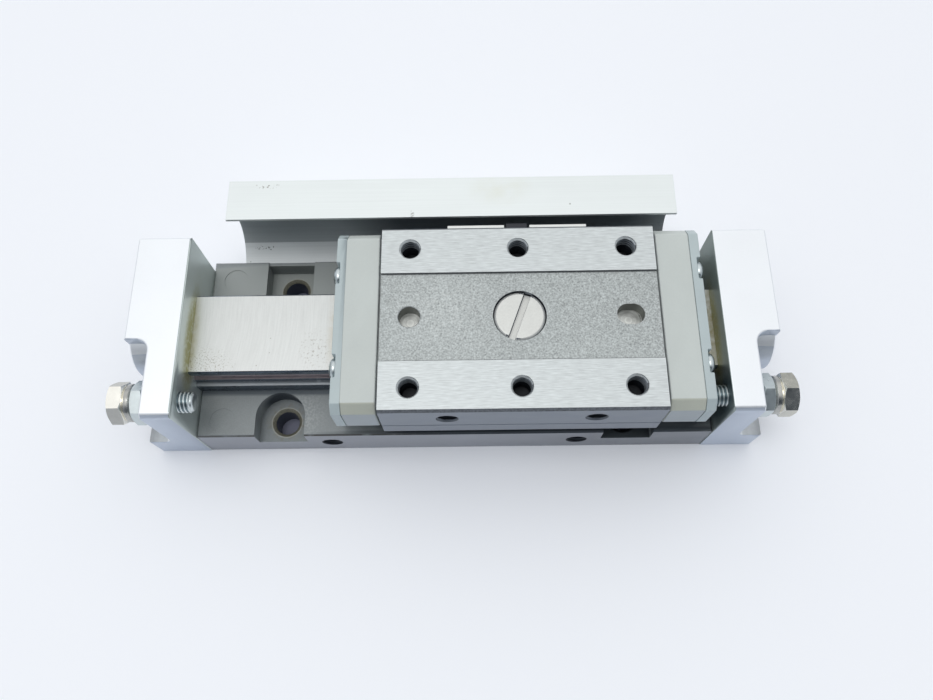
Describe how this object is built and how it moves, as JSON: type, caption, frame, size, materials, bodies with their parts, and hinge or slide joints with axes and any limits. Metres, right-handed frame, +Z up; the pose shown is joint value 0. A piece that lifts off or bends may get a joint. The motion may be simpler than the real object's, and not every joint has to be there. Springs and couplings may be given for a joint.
{
  "type": "pneumatic slide table",
  "caption": "Compact air-driven slide table: a steel guide block with tapped top rides a rail body with built-in bore, between end plates with stop bolts, beside a switch rail.",
  "frame": {"origin": "on the mounting face, midway between the end plates and below the centre line of the rail", "axes": "+X along the travel, towards the end the table stands at; +Y towards the switch rail; +Z up through the table"},
  "size_m": [0.122, 0.0474, 0.0251],
  "materials": {
    "cast_body": "blasted casting, ground rail top",
    "anodised_plate": "satin anodised",
    "black_screw": "black oxide",
    "seal_rubber": "matte",
    "switch_extrusion": "satin anodised extrusion",
    "zinc_screw": "zinc plated",
    "block_steel": "ground strips, blasted band and sides",
    "cap_plastic": "moulded, fine grain",
    "cover_plastic": "moulded",
    "pin_steel": "turned",
    "piston_alloy": "turned",
    "wear_plastic": "machined resin",
    "ball_steel": "polished",
    "bright_sheet": "bright rolled sheet",
    "magnet_black": "sintered magnet",
    "bolt_nickel": "nickel plated head, zinc plated thread",
    "nut_zinc": "zinc plated"
  },
  "bodies": {
    "body": {"rail_body": "cast_body", "end_plate_left": "anodised_plate", "end_plate_right": "anodised_plate", "end_plate_screws": "black_screw", "bore_gaskets": "seal_rubber", "switch_rail": "switch_extrusion", "switch_rail_screws": "zinc_screw"},
    "table": {"guide_block": "block_steel", "end_cap_left": "cap_plastic", "end_cap_right": "cap_plastic", "cap_cover_left": "cover_plastic", "cap_cover_right": "cover_plastic", "rail_wipers": "seal_rubber", "cap_screws": "zinc_screw", "drive_pin": "pin_steel", "piston": "piston_alloy", "piston_seals": "seal_rubber", "wear_rings": "wear_plastic", "piston_bumpers": "seal_rubber", "balls_front": "ball_steel", "balls_back": "ball_steel", "magnet_plates": "bright_sheet", "magnet": "magnet_black", "magnet_screws": "zinc_screw"},
    "stop_bolt_left": {"stop_bolt_left": "bolt_nickel"},
    "stop_bolt_right": {"stop_bolt_right": "bolt_nickel"},
    "lock_nut_left": {"lock_nut_left": "nut_zinc"},
    "lock_nut_right": {"lock_nut_right": "nut_zinc"}
  },
  "joints": [
    {"name": "table_travel", "type": "slide", "parent": "body", "child": "table", "axis": [1, 0, 0], "range_m": [-0.025, 0]},
    {"name": "stop_bolt_left_adjust", "type": "slide", "parent": "body", "child": "stop_bolt_left", "axis": [-1, 0, 0], "range_m": [0, 0.003]},
    {"name": "stop_bolt_right_adjust", "type": "slide", "parent": "body", "child": "stop_bolt_right", "axis": [1, 0, 0], "range_m": [0, 0.003]},
    {"name": "lock_nut_left_turn", "type": "hinge", "parent": "body", "child": "lock_nut_left", "pos_m": [-0.0557, -0.0141, 0.0199], "axis": [-1, 0, 0], "range_deg": [0, 180]},
    {"name": "lock_nut_right_turn", "type": "hinge", "parent": "body", "child": "lock_nut_right", "pos_m": [0.0557, -0.0141, 0.0199], "axis": [1, 0, 0], "range_deg": [0, 180]}
  ]
}
